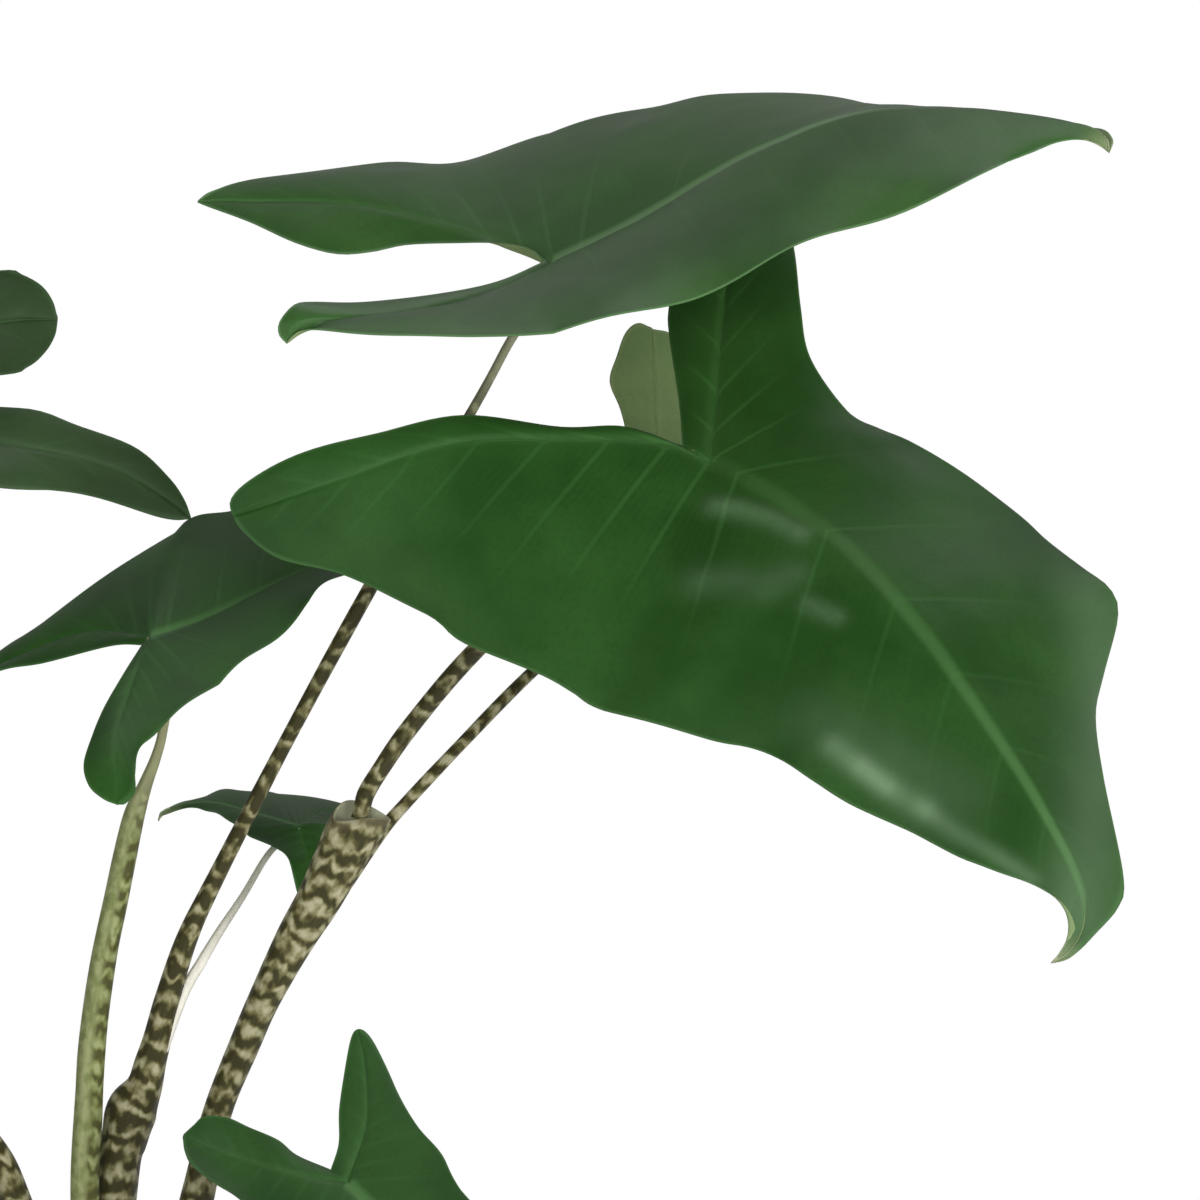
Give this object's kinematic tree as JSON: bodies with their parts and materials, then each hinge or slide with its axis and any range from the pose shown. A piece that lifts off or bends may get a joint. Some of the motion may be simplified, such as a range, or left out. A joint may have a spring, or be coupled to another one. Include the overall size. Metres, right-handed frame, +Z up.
{
  "type": "potted alocasia zebrina",
  "caption": "Potted Alocasia zebrina: arrow-shaped dark green leaves on slender zebra-banded stalks, growing from a corm in soil in a plain round tapered pot.",
  "frame": {"origin": "centre of the pot's flat base, on the surface that the pot stands on", "axes": "+Z up; +X towards the side that most of the leaves lean to; -Y towards the front"},
  "size_m": [0.6489, 0.3031, 0.6381],
  "materials": {
    "leaf": "satin",
    "stalk": "satin",
    "pale_stalk": "satin",
    "corm": "matte",
    "soil": "matte",
    "pot": "matte"
  },
  "bodies": {
    "root": {"pot": "pot", "soil": "soil", "corm": "corm", "stalk_top": "stalk", "blade_top": "leaf", "stalk_right": "stalk", "blade_right": "leaf", "stalk_centre": "pale_stalk", "blade_centre": "leaf", "stalk_upper_left": "stalk", "blade_upper_left": "leaf", "stalk_small": "stalk", "blade_small": "leaf", "stalk_front": "stalk", "blade_front": "leaf", "stalk_back": "stalk", "blade_back": "leaf", "stalk_left": "stalk", "blade_left": "leaf", "stalk_low_left": "stalk", "blade_low_left": "leaf"}
  },
  "joints": []
}
